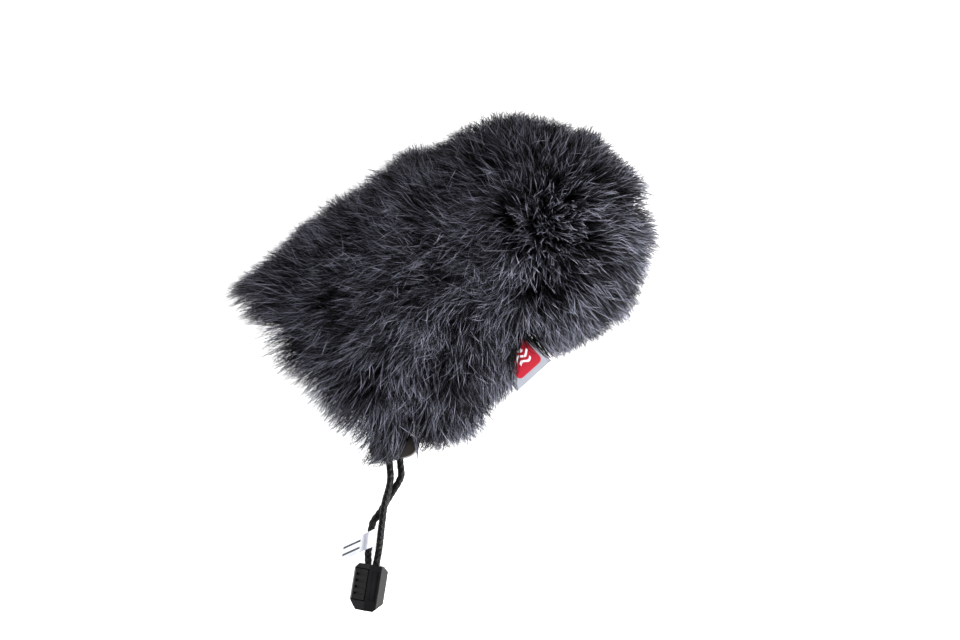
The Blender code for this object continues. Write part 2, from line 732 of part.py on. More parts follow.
def build():
    clear_scene()
    parts = collection("furry_windscreen")
    cutters = collection("cutters")
    fur = material("charcoal_fur", (0.035, 0.036, 0.042), 0.85)
    tape = material("black_tape", (0.015, 0.015, 0.017), 0.7)
    thread = material("black_thread", (0.02, 0.02, 0.022), 0.6)
    cord = material("black_cord", (0.008, 0.008, 0.009), 0.75)
    moulded = material("black_moulding", (0.02, 0.02, 0.022), 0.45)
    steel = material("spring_steel", (0.6, 0.6, 0.62), 0.3, 1.0)
    grey = material("grey_label", (0.5, 0.51, 0.56), 0.7)
    white = material("white_tag", (0.9, 0.9, 0.91), 0.6)

    panels = cover_panels(parts, fur)
    cut_lock_notch(panels, cutters)
    cut_label_slot(panels, cutters)
    seam_threads(parts, thread)
    hem_casing(parts, tape)
    drawcord(parts, cord)
    cord_lock(parts, cutters, moulded, steel)
    cord_end(parts, cutters, moulded)
    cord_knot(parts, cord)
    cord_tag(parts, white)
    side_label(parts, grey)
    cutters.hide_render = True


build()
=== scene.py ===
"""Looks for the furry windscreen: pile, knitted backing, gathered hem, braided drawcord,
cord lock, cord end, tag and label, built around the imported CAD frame.

All lengths are in metres, in the same frame as the CAD; MM turns millimetres into metres.
"""

import math

import bpy
import numpy as np
from mathutils import Matrix, Vector


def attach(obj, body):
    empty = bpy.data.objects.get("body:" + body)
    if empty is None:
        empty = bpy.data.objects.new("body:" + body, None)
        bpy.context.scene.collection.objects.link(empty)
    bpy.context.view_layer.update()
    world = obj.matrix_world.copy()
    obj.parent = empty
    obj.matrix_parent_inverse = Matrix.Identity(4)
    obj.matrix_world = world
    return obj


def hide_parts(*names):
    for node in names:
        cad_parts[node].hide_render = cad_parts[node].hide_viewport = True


MM = 0.001
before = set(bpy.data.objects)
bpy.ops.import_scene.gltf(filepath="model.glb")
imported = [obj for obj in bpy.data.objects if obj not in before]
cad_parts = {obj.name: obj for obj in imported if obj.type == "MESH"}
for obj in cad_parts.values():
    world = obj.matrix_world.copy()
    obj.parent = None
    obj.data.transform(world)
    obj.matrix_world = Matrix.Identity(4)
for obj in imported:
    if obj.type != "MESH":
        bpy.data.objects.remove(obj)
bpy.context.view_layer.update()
random = np.random.default_rng(41)

# The cover's form, as in the CAD part. The spine is an arc in plan from the hem to the head's tip.
MOUTH_CENTRE = np.array((-59.3, -4.9, 0.0)) * MM
MOUTH_HEADING = math.radians(16.0)
BEND_RADIUS = 266.0 * MM
WAIST = 77.0 * MM
DOME = 95.0 * MM
TIP = 130.5 * MM
BACKING_KEYS = (                    # station, left half-width, right half-width, top height, mm
    (0.0, 33.0, 33.0, 38.0),
    (25.0, 34.0, 42.0, 44.0),
    (45.0, 34.0, 42.0, 47.0),
    (61.0, 35.0, 35.0, 48.0),
    (77.0, 36.0, 34.0, 47.5),
    (95.0, 36.0, 34.0, 52.0),
)
SEAM_KEYS = ((0.0, 11.0), (61.0, 13.2), (77.0, 14.0), (95.0, 16.0))
BACKING_BOTTOM = 7.0 * MM
SQUARENESS = 0.8
POLE_HEIGHT = 27.0 * MM
CASING_RADIUS = 3.0 * MM
CASING_STATION = -3.5 * MM
CASING_HALF_WIDTH = 31.0 * MM
CASING_MIDDLE = 22.5 * MM
CASING_HALF_HEIGHT = 13.3 * MM
CASING_START = math.radians(-15.0)
CASING_END = math.radians(305.0)

# The pile.
CLUMPS = 11200
CLUMP_STRANDS = 7
CLUMP_SPREAD = 0.95 * MM
STRAND_RADIUS = 0.145 * MM
STRAND_RINGS = 4
PIECE_STRANDS = 8800                # keeps each piece of pile below 200,000 triangles
RISE_SIDE = 13.0 * MM               # how far the pile stands off the backing
RISE_TOP = 3.0 * MM                 # more than that on top
RISE_BOTTOM = 6.3 * MM
REACH = 13.0 * MM                   # how far a strand's tip is combed along the surface
LIP_REACH = 9.0 * MM                # more than that at the mouth's edge
SPLAY = 8.0 * MM                    # more than the rise where the combing runs off the side
SPLAY_LEFT = 2.5 * MM               # and more than that at the body's left side
SPLAY_LIP = 3.0 * MM                # and at the mouth's left corner
WAIST_DIP = 0.22                    # share of the rise that is missing on top of the waist seam
DROOP = 5.0 * MM                    # how far the tips at the sides hang
CURL = 1.9 * MM
STRAY_SHARE = 0.03
BRUSHED = np.array((0.6, -2.8, 0.0)) * MM    # how far the head's tips are brushed to the right
BRUSHED_FROM = 100.0 * MM
RING_WIDTHS = np.array((1.0, 1.05, 0.9, 0.62, 0.12))
FLOOR_GAP = 0.3 * MM                # least height of a strand over the floor
COMBING = (                         # place in plan and heading, in mm and degrees
    (-80, 40, 140), (-55, 40, 135), (-30, 45, 130), (-10, 50, 125), (5, 55, 100), (15, 56, 75),
    (5, 40, 110), (8, 28, 125), (-58, 28, 125), (-52, 20, 105), (-35, 28, 145), (-10, 14, 155),
    (8, 10, 155), (22, 19, 140), (-75, 20, 150), (-84, 14, 165), (-78, -2, -175), (-73, -23, -160),
    (-58, 0, 180), (-44, 2, 170), (-25, 0, 175), (-71, -38, -140), (-58, -46, -125),
    (-43, -52, -112), (-26, -56, -100), (-12, -51, -87), (-55, -22, -145), (-40, -26, -130),
    (-20, -22, -135), (-24, -43, -120), (-14, -5, -160), (0, -17, -150), (-5, -34, -125),
    (6, -30, -125), (12, -14, -170), (31, 54, 113), (40, 54, 93), (52, 51, 68), (65, 39, 48),
    (78, 28, 33), (85, 13, 13), (88, -3, -7), (86, -16, -27), (78, -29, -45), (61, -39, -69),
    (45, -42, -82), (29, -41, -95), (20, -32, -102), (32, -22, -57), (20, -22, -122),
    (21, 45, 138), (33, 41, 123), (46, 35, 73), (61, 22, 28), (73, 7, 3), (65, -8, -27),
    (52, -15, -62), (40, -19, -77), (35, 22, 138), (23, 30, 143), (31, 0, 163), (19, -6, 158),
)

# The cord lock and the drawcord's two strands, as in the CAD part.
CORD_RADIUS = 1.5 * MM
LOCK_CENTRE = np.array((-53.8, -48.9, 0.0)) * MM
LOCK_HEADING = math.radians(-112.0)
LOCK_OUT = np.array((math.cos(LOCK_HEADING), math.sin(LOCK_HEADING), 0.0))
LOCK_ACROSS = np.array((-LOCK_OUT[1], LOCK_OUT[0], 0.0))
CORD_HEIGHT = 8.7 * MM
CORD_SPACING = 2.3 * MM
RUN_STEPS = (-7.5, -5.0, 0.0, 5.0, 8.5, 12.0)
ROUTE_A_IN = (
    (-56.9, -27.6, 10.9), (-56.1, -30.6, 10.2), (-54.9, -33.8, 9.5), (-53.7, -37.0, 9.0),
)
ROUTE_A_OUT = (
    (-62.2, -62.0, 8.2), (-64.4, -64.6, 7.4), (-66.8, -67.1, 6.5), (-69.1, -69.9, 5.6),
    (-71.0, -72.6, 5.0), (-72.8, -75.3, 4.3), (-74.8, -78.2, 3.2), (-76.8, -81.3, 2.4),
    (-78.8, -84.3, 2.3), (-80.6, -86.8, 3.3), (-81.9, -88.5, 4.0), (-83.1, -90.1, 4.0),
    (-84.3, -91.7, 4.0), (-85.4, -93.3, 4.0),
)
ROUTE_B_IN = (
    (-53.4, -34.9, 17.2), (-52.9, -35.0, 15.5), (-51.8, -35.7, 13.3), (-50.4, -37.3, 11.0),
    (-49.2, -39.7, 9.3),
)
ROUTE_B_OUT = (
    (-58.4, -62.9, 7.6), (-60.9, -64.4, 6.0), (-63.6, -65.9, 4.0), (-66.4, -67.6, 2.2),
    (-69.0, -69.2, 1.6), (-71.6, -70.8, 1.6), (-74.2, -72.0, 1.65), (-76.3, -73.3, 1.9),
    (-77.9, -75.2, 2.2), (-79.3, -77.2, 2.2), (-80.6, -79.1, 2.2), (-82.0, -81.1, 2.2),
    (-83.2, -82.8, 2.2), (-84.2, -84.6, 2.7), (-85.0, -86.4, 3.7), (-85.9, -88.1, 4.0),
    (-87.0, -89.7, 4.0), (-88.2, -91.3, 4.0),
)

# The room that the pile leaves round the lock, measured outward and across from its centre.
NOTCH_HALF = 10.8 * MM
NOTCH_OUT = (-13.0 * MM, 28.0 * MM)
NOTCH_HEIGHT = 19.3 * MM
BARE_ACROSS = (3.5 * MM, 9.6 * MM)
BARE_OUT = (-0.5 * MM, 26.0 * MM)
FRINGE_ACROSS = (-17.0 * MM, 4.0 * MM)
FRINGE_OUT = 4.0 * MM
FRINGE_LENGTH = 3.0 * MM
BESIDE_ACROSS = 10.4 * MM
BESIDE_OUT = (-6.0 * MM, 14.0 * MM)
BESIDE_SHIFT = 2.4 * MM

# The tag on strand B and the label in the side seam.
TAG_CENTRE = Vector((-80.6, -79.1, 2.2)) * MM
TAG_TURN = math.radians(145.0)
TAG_WIDTH = 7.6 * MM
TAG_SHEAR = 0.63
LABEL_ROOT = Vector((6.5, -23.9, 13.3)) * MM
LABEL_HEADING = math.radians(-75.0)
LABEL_WIDTH = 19.5 * MM
LABEL_REACH = ((-1.5, 0.0), (4.0, 0.1), (10.0, 0.1), (16.0, -0.3), (21.0, -2.3), (25.6, -5.5))
LABEL_THICKNESS = 0.8 * MM
LABEL_FOLD = 28.4 * MM              # length of cloth from the seam to the fold
LABEL_CLEAR_HALF = 10.6 * MM        # the pile keeps above or below the label this far from its middle
LABEL_CLEAR_REACH = (-2.0 * MM, 27.0 * MM)
PATCH_SHOWN_FROM = 15.5 * MM        # no tips lie over the patch beyond here
PATCH_SHOWN_SIDE = 8.6 * MM
PATCH_HALF = (6.6, 7.6)             # mm
PATCH_CORNER = 2.2                  # mm
WIND_LINES = ((-2.6, 3.4), (0.0, 4.4), (2.6, 2.8))    # place along the patch and half-length, mm
RULES = (0.24, 0.64)                # where the tag's rules start, as shares of its width
RULE_WIDTH = 0.13


# ---------------------------------------------------------------- material helpers

class Look:
    """A material with a Principled BSDF, and short ways to add nodes to it."""

    def __init__(self, name, roughness, colour=(0.5, 0.5, 0.5), **values):
        self.material = bpy.data.materials.new(name)
        self.material.use_nodes = True
        self.tree = self.material.node_tree
        self.shader = self.tree.nodes["Principled BSDF"]
        self.shader.inputs["Base Color"].default_value = (*colour, 1.0)
        self.shader.inputs["Roughness"].default_value = roughness
        for socket, value in values.items():
            self.shader.inputs[socket.replace("_", " ")].default_value = value

    def node(self, kind, **settings):
        made = self.tree.nodes.new(kind)
        for key, value in settings.items():
            setattr(made, key, value)
        return made

    def link(self, source, target):
        self.tree.links.new(source, target)

    def math(self, operation, *values):
        made = self.node("ShaderNodeMath", operation=operation)
        for socket, value in zip(made.inputs, values):
            if isinstance(value, bpy.types.NodeSocket):
                self.link(value, socket)
            else:
                socket.default_value = value
        return made.outputs[0]

    def mix(self, share, first, second, blend="MIX"):
        made = self.node("ShaderNodeMix", data_type="RGBA", blend_type=blend)
        for socket, value in zip((made.inputs[0], made.inputs[6], made.inputs[7]), (share, first, second)):
            if isinstance(value, bpy.types.NodeSocket):
                self.link(value, socket)
            else:
                socket.default_value = value if isinstance(value, (int, float)) else (*value, 1.0)
        return made.outputs[2]

    def ramp(self, value, *stops):
        made = self.node("ShaderNodeValToRGB")
        elements = made.color_ramp.elements
        while len(elements) < len(stops):
            elements.new(0.5)
        for element, (at, colour) in zip(elements, stops):
            element.position = at
            element.color = (*colour, 1.0)
        self.link(value, made.inputs[0])
        return made.outputs[0]

    def uv(self, layer):
        split = self.node("ShaderNodeSeparateXYZ")
        self.link(self.node("ShaderNodeUVMap", uv_map=layer).outputs[0], split.inputs[0])
        return split.outputs[0], split.outputs[1]

    def place(self):
        return self.node("ShaderNodeTexCoord").outputs["Object"]

    def noise(self, scale, detail=2.0, coordinates=None):
        made = self.node("ShaderNodeTexNoise")
        made.inputs["Scale"].default_value = scale
        made.inputs["Detail"].default_value = detail
        self.link(coordinates or self.place(), made.inputs["Vector"])
        return made.outputs[0]

    def bump(self, height, distance, strength=1.0):
        made = self.node("ShaderNodeBump")
        made.inputs["Strength"].default_value = strength
        made.inputs["Distance"].default_value = distance
        self.link(height, made.inputs["Height"])
        self.link(made.outputs[0], self.shader.inputs["Normal"])

    def colour(self, socket):
        self.link(socket, self.shader.inputs["Base Color"])


def grey(level, tint=(1.0, 1.0, 1.0)):
    return tuple(level * part for part in tint)


def pile_look():
    """Strands: dark at the root, paler at the tip, a few of them nearly silver. The darkening towards
    the root is painted shade deep in the pile; the pale tips are partly the fibres' own tone and
    partly painted highlights.
    The pile's own UV layer holds each strand's shade across and root to tip upwards."""
    look = Look("pile", 0.35, Specular_IOR_Level=0.04)
    shade, along = look.uv("OFBake")
    cool = (0.92, 0.95, 1.2)
    # Root to tip: the near-black roots are painted shade deep in the pile; the pale tips are partly the
    # fibres' own paler tips and partly painted highlight.
    painted_root_shade_and_tip_tone = look.ramp(
        along, (0.0, grey(0.0005, cool)), (0.45, grey(0.002, cool)), (0.72, grey(0.04, cool)),
        (1.0, grey(0.2, cool)),
    )
    # Across strands: a random mix of dark and pale fibres; the brightest strands are also painted highlights
    # standing in for glints, as the specular is nearly off.
    strength = look.ramp(shade, (0.0, grey(0.002)), (0.46, grey(0.018)), (0.68, grey(0.32)), (1.0, grey(1.0)))
    fourfold = look.mix(1.0, painted_root_shade_and_tip_tone, grey(4.0), "MULTIPLY")
    look.colour(look.mix(1.0, fourfold, strength, "MULTIPLY"))
    return look.material


def knit_look():
    look = Look("knitted_backing", 0.85, grey(0.012), Sheen_Weight=0.2)
    wave = look.node("ShaderNodeTexWave", wave_type="BANDS", bands_direction="X")
    wave.inputs["Scale"].default_value = 260.0
    wave.inputs["Distortion"].default_value = 2.0
    look.link(look.place(), wave.inputs["Vector"])
    look.colour(look.ramp(wave.outputs["Fac"], (0.2, grey(0.006)), (0.9, grey(0.02))))
    look.bump(wave.outputs["Fac"], 0.3 * MM)
    return look.material


def tape_look():
    look = Look("hem_tape", 0.75, grey(0.012), Sheen_Weight=0.15)
    fine = look.noise(900.0, 3.0)
    look.colour(look.ramp(fine, (0.3, grey(0.004)), (0.7, grey(0.014))))
    look.bump(fine, 0.15 * MM)
    return look.material


def thread_look():
    look = Look("sewing_thread", 0.55, grey(0.02))
    fine = look.noise(2500.0)
    look.colour(look.ramp(fine, (0.3, grey(0.012)), (0.7, grey(0.04))))
    return look.material


def braid_look():
    """Near-black polyester; the braid itself is in the strands' shape."""
    look = Look("braided_cord", 0.45, grey(0.006), Specular_IOR_Level=0.12)
    fine = look.noise(3500.0, 2.0)
    look.colour(look.ramp(fine, (0.3, grey(0.001)), (0.7, grey(0.005, (0.9, 0.95, 1.1)))))
    look.bump(fine, 0.06 * MM)
    return look.material


def moulding_look(name, colour, roughness):
    look = Look(name, roughness, colour, Specular_IOR_Level=0.2)
    fine = look.noise(2200.0, 3.0)
    broad = look.noise(120.0, 2.0)
    darker, paler = (tuple(part * k for part in colour) for k in (0.8, 1.25))
    look.colour(look.ramp(broad, (0.35, darker), (0.65, paler)))
    shine = look.node("ShaderNodeMapRange")
    shine.inputs["To Min"].default_value = roughness - 0.05
    shine.inputs["To Max"].default_value = roughness + 0.08
    look.link(broad, shine.inputs["Value"])
    look.link(shine.outputs[0], look.shader.inputs["Roughness"])
    look.bump(fine, 0.02 * MM)
    return look.material


def steel_look():
    look = Look("spring_steel", 0.25, grey(0.6), Metallic=1.0)
    look.colour(look.ramp(look.noise(1500.0), (0.3, grey(0.5)), (0.7, grey(0.66))))
    return look.material


def rounded_box(look, across, along, centre, half, corner):
    """Below zero inside a rounded rectangle, in mm."""
    gaps = []
    for value, middle, reach in ((across, centre[0], half[0]), (along, centre[1], half[1])):
        off = look.math("ABSOLUTE", look.math("SUBTRACT", value, middle))
        gaps.append(look.math("MAXIMUM", look.math("SUBTRACT", off, reach - corner), 0.0))
    dx, dy = gaps
    squares = look.math("ADD", look.math("POWER", dx, 2.0), look.math("POWER", dy, 2.0))
    return look.math("SUBTRACT", look.math("SQRT", squares), corner)


def label_look(fold):
    """Grey satin with a red patch that carries three plain wind lines. fold is the length of
    cloth from the seam to the fold."""
    look = Look("woven_label", 0.6, (0.2, 0.2, 0.24), Specular_IOR_Level=0.15)
    across, along = look.uv("cloth")
    across = look.math("MULTIPLY", across, LABEL_WIDTH / MM)
    along = look.math("MULTIPLY", along, 2 * fold / MM)
    warp = look.math("SINE", look.math("MULTIPLY", across, 2 * math.pi / 0.42))
    weft = look.math("SINE", look.math("MULTIPLY", along, 2 * math.pi / 0.30))
    weave = look.math("MULTIPLY", warp, weft)
    satin = look.ramp(look.math("MULTIPLY_ADD", weave, 0.25, 0.5), (0.25, grey(0.17, (0.95, 1.0, 1.16))),
                      (0.75, grey(0.27, (0.95, 1.0, 1.14))))
    centre = (LABEL_WIDTH / MM / 2 + 0.6, fold / MM - 11.2)
    patch = rounded_box(look, across, along, centre, PATCH_HALF, PATCH_CORNER)
    inside = look.math("LESS_THAN", patch, 0.0)
    red = look.mix(look.math("MULTIPLY_ADD", weave, 0.3, 0.5), (0.2, 0.003, 0.011), (0.33, 0.006, 0.018))
    cloth = look.mix(inside, satin, red)
    for line, reach in WIND_LINES:
        swing = look.math("MULTIPLY", look.math("SINE", look.math("MULTIPLY", across, 1.15)), 0.75)
        off = look.math("SUBTRACT", along, centre[1] + line)
        off = look.math("ABSOLUTE", look.math("SUBTRACT", off, swing))
        near = look.math("LESS_THAN", off, 0.55)
        side = look.math("ABSOLUTE", look.math("SUBTRACT", across, centre[0] + line * 0.25))
        near = look.math("MULTIPLY", near, look.math("LESS_THAN", side, reach))
        cloth = look.mix(near, cloth, (0.6, 0.57, 0.6))
    edge = look.math("ABSOLUTE", look.math("SUBTRACT", across, LABEL_WIDTH / MM / 2))
    edge = look.math("GREATER_THAN", edge, LABEL_WIDTH / MM / 2 - 0.45)
    look.colour(look.mix(edge, cloth, grey(0.06)))
    look.bump(weave, 0.05 * MM)
    return look.material


def film_look():
    """White film with two plain printed rules."""
    look = Look("white_film", 0.35, grey(0.8))
    across, along = look.uv("cloth")
    paper = look.ramp(look.noise(600.0), (0.3, (0.54, 0.56, 0.64)), (0.7, (0.6, 0.62, 0.7)))
    for low in RULES:
        inside = look.math("LESS_THAN", across, low + RULE_WIDTH)
        inside = look.math("MULTIPLY", inside, look.math("GREATER_THAN", across, low))
        inside = look.math("MULTIPLY", inside, look.math("GREATER_THAN", along, 0.06))
        inside = look.math("MULTIPLY", inside, look.math("LESS_THAN", along, 0.27))
        paper = look.mix(inside, paper, grey(0.015, (0.9, 0.95, 1.2)))
    look.colour(paper)
    return look.material


# ---------------------------------------------------------------- the cover's form

def spine(station):
    """Points, directions and left-hand sides of the spine, for an array of stations."""
    heading = MOUTH_HEADING - station / BEND_RADIUS
    flat = np.zeros_like(heading)
    run = math.sin(MOUTH_HEADING) - np.sin(heading)
    rise = np.cos(heading) - math.cos(MOUTH_HEADING)
    point = MOUTH_CENTRE + BEND_RADIUS * np.stack([run, rise, flat], axis=-1)
    forward = np.stack([np.cos(heading), np.sin(heading), flat], axis=-1)
    left = np.stack([-np.sin(heading), np.cos(heading), flat], axis=-1)
    return point, forward, left


def along_keys(keys, station):
    """Each column of a key table along a smooth curve, in metres."""
    keys = np.array(keys, float)
    places = keys[:, 0]
    at_mm = np.clip(station / MM, places[0], places[-1])
    at = np.clip(np.searchsorted(places, at_mm, side="right") - 1, 0, len(places) - 2)
    low, high = keys[at], keys[at + 1]
    before, after = keys[np.maximum(at - 1, 0)], keys[np.minimum(at + 2, len(places) - 1)]
    span = high[..., :1] - low[..., :1]
    t = (at_mm[..., None] - low[..., :1]) / span
    slope_low = (high - before) / (high[..., :1] - before[..., :1]) * span
    slope_high = (after - low) / (after[..., :1] - low[..., :1]) * span
    value = (2 * t**3 - 3 * t**2 + 1) * low + (t**3 - 2 * t**2 + t) * slope_low
    value += (3 * t**2 - 2 * t**3) * high + (t**3 - t**2) * slope_high
    return value[..., 1:] * MM


def cover(station, around):
    """Points of the woven backing. around is 0 at the right seam, 1 at the left seam over the
    top, and goes on to 2 back under the bottom."""
    station, around = np.broadcast_arrays(np.asarray(station, float), np.asarray(around, float))
    beyond = np.clip((station - DOME) / (TIP - DOME), 0, 1)
    shrink = np.sqrt(1 - beyond**2)
    section = along_keys(BACKING_KEYS, station)
    seam = along_keys(SEAM_KEYS, station)[..., 0]
    left, right, top = section[..., 0], section[..., 1], section[..., 2]
    middle, half = (top + BACKING_BOTTOM) / 2, (top - BACKING_BOTTOM) / 2
    below = np.arcsin(((middle - seam) / half) ** (1 / SQUARENESS))
    over_top = -below + (math.pi + 2 * below) * around
    under = math.pi + below + (math.pi - 2 * below) * (around - 1)
    angle = np.where(around <= 1, over_top, under)
    across, up = np.cos(angle), np.sin(angle)
    width = np.where(across > 0, right, left)
    sideways = -np.sign(across) * width * np.abs(across) ** SQUARENESS * shrink
    height = middle + np.sign(up) * half * np.abs(up) ** SQUARENESS
    height = POLE_HEIGHT + (height - POLE_HEIGHT) * shrink
    point, _, left_side = spine(station)
    return point + left_side * sideways[..., None] + height[..., None] * np.array((0, 0, 1.0))


def unit(vectors):
    return vectors / np.maximum(np.linalg.norm(vectors, axis=-1, keepdims=True), 1e-12)


def cover_normal(station, around):
    """Outward normals, and how much surface a step of station and around covers."""
    ds, da = 0.3 * MM, 0.004
    station = np.clip(station, ds, TIP - 2 * ds)
    along = (cover(station + ds, around) - cover(station - ds, around)) / (2 * ds)
    over = (cover(station, around + da) - cover(station, around - da)) / (2 * da)
    normal = np.cross(along, over)
    size = np.linalg.norm(normal, axis=-1)
    return unit(normal), size


def hem_point(angle):
    """Points on the middle line of the hem's channel, for an array of angles round the mouth."""
    point, _, left_side = spine(np.full_like(angle, CASING_STATION))
    across, up = np.cos(angle), np.sin(angle)
    sideways = -np.sign(across) * CASING_HALF_WIDTH * np.abs(across) ** SQUARENESS
    height = CASING_MIDDLE + np.sign(up) * CASING_HALF_HEIGHT * np.abs(up) ** SQUARENESS
    return point + left_side * sideways[..., None] + height[..., None] * np.array((0, 0, 1.0))


# ---------------------------------------------------------------- mesh helpers

def mesh_from_faces(name, points, faces, look, smooth=True):
    mesh = bpy.data.meshes.new(name)
    mesh.from_pydata([tuple(p) for p in points], [], [tuple(f) for f in faces])
    mesh.update()
    if smooth:
        mesh.shade_smooth()
    mesh.materials.append(look)
    item = bpy.data.objects.new(name, mesh)
    bpy.context.scene.collection.objects.link(item)
    return item


def grid_faces(rows, columns, closed=False):
    """Quads of a grid of points stored row by row; closed joins the last column to the first."""
    faces = []
    for i in range(rows - 1):
        for j in range(columns if closed else columns - 1):
            k = (j + 1) % columns
            faces.append((i * columns + j, i * columns + k, (i + 1) * columns + k, (i + 1) * columns + j))
    return faces


def smooth_line(points, step):
    """Evenly spread points on a smooth curve through the given ones."""
    points = np.array(points, float)
    ends = np.vstack([2 * points[0] - points[1], points, 2 * points[-1] - points[-2]])
    fine = []
    for i in range(1, len(ends) - 2):
        a, b, c, d = ends[i - 1:i + 3]
        for t in np.arange(16) / 16:
            fine.append(0.5 * (2 * b + (c - a) * t + (2 * a - 5 * b + 4 * c - d) * t**2
                               + (3 * b - a - 3 * c + d) * t**3))
    fine = np.array(fine + [points[-1]])
    along = np.concatenate([[0], np.cumsum(np.linalg.norm(np.diff(fine, axis=0), axis=1))])
    at = np.linspace(0, along[-1], max(3, round(along[-1] / step) + 1))
    return np.stack([np.interp(at, along, fine[:, k]) for k in range(3)], axis=1)


def swept(line, radius_of, sides):
    """Rings of points along a line. radius_of(distance, angle) gives the radius as an array."""
    tangent = unit(np.gradient(line, axis=0))
    along = np.concatenate([[0], np.cumsum(np.linalg.norm(np.diff(line, axis=0), axis=1))])
    side = np.cross(tangent[0], (0, 0, 1.0))
    if np.linalg.norm(side) < 0.1:
        side = np.cross(tangent[0], (1.0, 0, 0))
    angles = 2 * math.pi * np.arange(sides) / sides
    rings = []
    for point, direction, distance in zip(line, tangent, along):
        side = side - direction * np.dot(side, direction)
        side = side / np.linalg.norm(side)
        other = np.cross(direction, side)
        radius = radius_of(distance, angles)[:, None]
        rings.append(point + radius * (np.cos(angles)[:, None] * side + np.sin(angles)[:, None] * other))
    return np.concatenate(rings)


def swept_piece(name, line, radius_of, sides, look, capped=True):
    points = swept(line, radius_of, sides)
    faces = grid_faces(len(line), sides, closed=True)
    if capped:
        last = (len(line) - 1) * sides
        faces.append(tuple(range(sides))[::-1])
        faces.append(tuple(range(last, last + sides)))
    return mesh_from_faces(name, points, faces, look)


# ---------------------------------------------------------------- the pile

def combed(points):
    """The heading in plan that the pile leans to at each point, as unit vectors."""
    keys = np.array(COMBING, float)
    places = keys[:, :2] * MM
    headings = np.radians(keys[:, 2])
    leans = np.stack([np.cos(headings), np.sin(headings)], axis=1)
    gaps = np.linalg.norm(points[:, None, :2] - places[None], axis=2)
    weights = 1 / (gaps + 3 * MM) ** 3
    lean = weights @ leans / weights.sum(axis=1, keepdims=True)
    return np.concatenate([lean, np.zeros((len(points), 1))], axis=1)


def ripples(points, wavelength, count, seed):
    """Smooth noise from -1 to 1, with the given wavelength."""
    draw = np.random.default_rng(seed)
    waves = unit(draw.normal(size=(count, 3))) * 2 * math.pi / wavelength
    phases = draw.uniform(0, 2 * math.pi, count)
    return np.sin(points @ waves.T + phases).sum(axis=1) / math.sqrt(count)


def clump_places(count):
    """Stations and arounds spread evenly over the backing, fewer beneath."""
    stations, arounds = [], []
    while sum(len(s) for s in stations) < count:
        station = random.uniform(0.4 * MM, TIP - 0.6 * MM, 4000)
        around = random.uniform(0, 2, 4000)
        _, size = cover_normal(station, around)
        share = np.where(around > 1, 0.55, 1.0) * size / size.max()
        kept = random.uniform(0, 1, 4000) < share
        stations.append(station[kept])
        arounds.append(around[kept])
    return np.concatenate(stations)[:count], np.concatenate(arounds)[:count]


def turned(vectors, angle):
    """Vectors turned about the vertical by an angle each."""
    c, s = np.cos(angle), np.sin(angle)
    x, y = vectors[:, 0], vectors[:, 1]
    return np.stack([c * x - s * y, s * x + c * y, vectors[:, 2]], axis=1)


def clump_lie(station, around):
    """Each clump's root, outward normal, lean, rise, and how near the mouth's edge it is."""
    root = cover(station, around)
    normal, _ = cover_normal(station, around)
    lean = turned(combed(root), 0.4 * ripples(root, 17 * MM, 9, 5) + 0.42 * ripples(root, 5 * MM, 9, 6))
    up = normal[:, 2]
    rise = RISE_SIDE + np.where(up > 0, RISE_TOP, RISE_SIDE - RISE_BOTTOM) * up
    rise = rise * (0.93 + 0.1 * ripples(root, 14 * MM, 9, 7) + 0.05 * ripples(root, 5 * MM, 9, 8))
    waist = np.exp(-((station - WAIST) / (6 * MM)) ** 2) * np.clip(up, 0, 1)
    rise = rise * (1 - WAIST_DIP * waist)
    _, _, left_side = spine(station)
    lip = np.clip(1 - station / (22 * MM), 0, 1)
    leftward = np.clip((left_side * normal).sum(axis=1), 0, 1)
    splay = np.clip((lean * normal).sum(axis=1), 0, 1) * np.clip(1 - 1.3 * leftward, 0, 1) * SPLAY
    splay = splay + (SPLAY_LEFT * (station < WAIST) + SPLAY_LIP * lip) * leftward
    return root, normal, lean, rise + splay, lip


def pile_strands():
    """Centrelines (strand, ring, xyz), radii, shades, and the place of each strand's clump."""
    station, around = clump_places(CLUMPS)
    root, normal, lean, rise, lip = clump_lie(station, around)
    _, forward, _ = spine(station)

    def spread(values):
        return np.repeat(values, CLUMP_STRANDS, axis=0)

    total = len(station) * CLUMP_STRANDS
    offset = random.normal(0, CLUMP_SPREAD, (total, 3))
    up = spread(normal)
    offset -= up * (offset * up).sum(axis=1, keepdims=True)
    start = spread(root) + offset + up * 0.2 * MM
    gather = random.uniform(0.35, 0.8, (total, 1))
    length = random.normal(1.0, 0.09, (total, 1))
    stray = random.uniform(0, 1, (total, 1)) < STRAY_SHARE
    length = np.where(stray, length * 1.08, length)
    own = turned(spread(lean), random.normal(0, 0.38, total) + stray[:, 0] * random.normal(0, 0.5, total))
    own = own - up * (own * up).sum(axis=1, keepdims=True)
    droop = np.array((0, 0, -1.0)) + up * up[:, 2:]
    reach = own * REACH * random.uniform(0.75, 1.2, (total, 1)) + droop * DROOP
    reach = reach - spread(forward * lip[:, None]) * LIP_REACH
    reach = reach + spread(np.clip((station - BRUSHED_FROM) / (20 * MM), 0, 1))[:, None] * BRUSHED
    curl = unit(np.cross(up, own + 1e-6)) * random.normal(0, CURL, (total, 1))
    height = spread(rise)[:, None] * length
    lines = []
    for t in np.linspace(0, 1, STRAND_RINGS + 1):
        lift = height * (1.45 * t - 0.45 * t**2)
        line = start + up * lift + reach * length * t**1.8 + curl * math.sin(math.pi * t)
        lines.append(line - offset * gather * t**1.5)
    lines = np.stack(lines, axis=1)
    thickness = STRAND_RADIUS * 1.0
    radius = thickness * random.uniform(0.7, 1.25, (total, 1)) * RING_WIDTHS
    shade = np.clip(random.beta(1.1, 1.6, total) + 0.12 * ripples(start, 11 * MM, 9, 9), 0.02, 0.9)
    shade = np.where(stray[:, 0], random.uniform(0.85, 0.99, total), shade)
    return lines, radius, shade, spread(station), spread(around)


def between(values, low, high):
    return (values > low) & (values < high)


